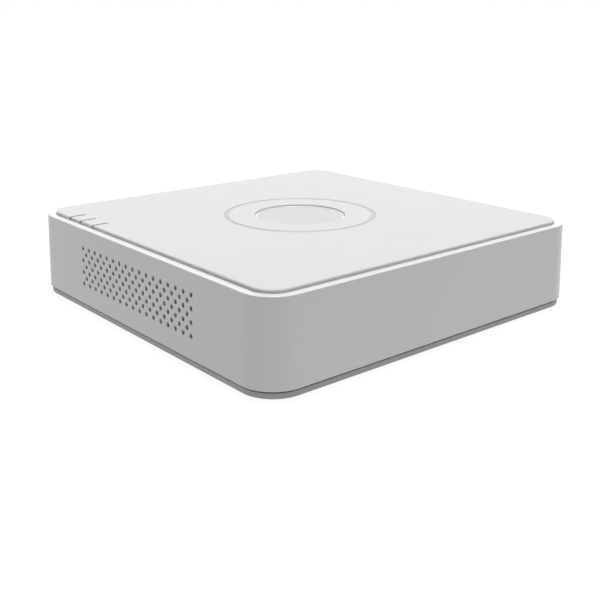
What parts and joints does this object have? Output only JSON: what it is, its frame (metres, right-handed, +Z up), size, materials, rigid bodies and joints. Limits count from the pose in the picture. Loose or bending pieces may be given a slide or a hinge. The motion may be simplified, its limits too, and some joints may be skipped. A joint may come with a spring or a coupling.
{
  "type": "dvr recorder",
  "caption": "Flat square video recorder with rounded corners, a raised top panel with a round dished recess, a perforated front grille and sockets at the rear.",
  "frame": {"origin": "on the floor, under the middle of the box that holds the whole recorder, sockets included", "axes": "+Z up, the vent grille faces -Y, the rear sockets face +Y, +X is the recorder's right side seen from the front"},
  "size_m": [0.2, 0.21, 0.045],
  "materials": {
    "case_white": "white moulded plastic with a fine satin texture",
    "panel_white": "white plastic, smoother than the shell",
    "clear_plastic": "clear light pipe, milky at its top",
    "tray_grey": "light grey moulded plastic",
    "rubber": "matt black rubber",
    "zinc_steel": "zinc plated sheet steel",
    "nickel": "bright nickel plating",
    "black_plastic": "black moulded plastic",
    "blue_plastic": "blue moulded plastic in a steel shell",
    "board_green": "green solder mask over glass laminate",
    "chip_black": "black moulded chip package",
    "capacitor_sleeve": "dark sleeve over an aluminium can",
    "ferrite": "grey ferrite",
    "aluminium": "bare aluminium",
    "mirror_metal": "mirror finish disk surface",
    "cable_red": "red cable jacket",
    "cable_black": "black insulated wires",
    "cable_white": "white insulated wires"
  },
  "bodies": {
    "case_base": {"arm_magnet": "nickel", "audio_input_socket": "black_plastic", "audio_output_socket": "black_plastic", "base_tray": "tray_grey", "buzzer": "black_plastic", "capacitor_1": "capacitor_sleeve", "capacitor_2": "capacitor_sleeve", "case_screw_1": "zinc_steel", "case_screw_2": "zinc_steel", "case_screw_3": "zinc_steel", "case_screw_4": "zinc_steel", "cell_holder": "black_plastic", "coin_cell": "nickel", "disk_base": "aluminium", "disk_board": "board_green", "disk_lid": "zinc_steel", "disk_power_cable": "cable_black", "fan_frame": "black_plastic", "fan_lead": "cable_black", "foot_front_left": "rubber", "foot_front_right": "rubber", "foot_rear_left": "rubber", "foot_rear_right": "rubber", "ground_screw": "nickel", "hdmi_socket": "nickel", "heat_sink": "aluminium", "light_board": "board_green", "light_lead": "cable_white", "main_board": "board_green", "memory_chip_1": "chip_black", "memory_chip_2": "chip_black", "network_jack": "nickel", "power_inductor": "ferrite", "power_jack": "black_plastic", "processor": "chip_black", "rear_panel": "zinc_steel", "sata_cable": "cable_red", "sata_socket": "black_plastic", "usb_ports": "nickel", "vga_post_left": "nickel", "vga_post_right": "nickel", "vga_socket": "blue_plastic", "video_decoder": "chip_black", "video_nut_1": "nickel", "video_nut_2": "nickel", "video_nut_3": "nickel", "video_nut_4": "nickel", "video_socket_1": "nickel", "video_socket_2": "nickel", "video_socket_3": "nickel", "video_socket_4": "nickel"},
    "cover": {"top_cover": "case_white", "top_panel": "panel_white", "dish_inlay": "panel_white", "light_pipe_power": "clear_plastic", "light_pipe_disk": "clear_plastic", "light_pipe_network": "clear_plastic"},
    "fan_rotor": {"fan_rotor": "black_plastic"},
    "disk_platters": {"disk_platters": "mirror_metal"},
    "head_arm": {"head_arm": "aluminium"}
  },
  "joints": [
    {"name": "cover_lift", "type": "slide", "parent": "case_base", "child": "cover", "axis": [0, 0, 1], "range_m": [0, 0.06]},
    {"name": "fan_spin", "type": "hinge", "parent": "case_base", "child": "fan_rotor", "pos_m": [0.005, 0.039, 0.024], "axis": [0, 0, 1], "continuous": true},
    {"name": "disk_spin", "type": "hinge", "parent": "case_base", "child": "disk_platters", "pos_m": [-0.027, -0.0412, 0.0125], "axis": [0, 0, 1], "continuous": true},
    {"name": "head_swing", "type": "hinge", "parent": "case_base", "child": "head_arm", "pos_m": [0.031, -0.063, 0.012], "axis": [0, 0, 1], "range_deg": [0, 32]}
  ]
}
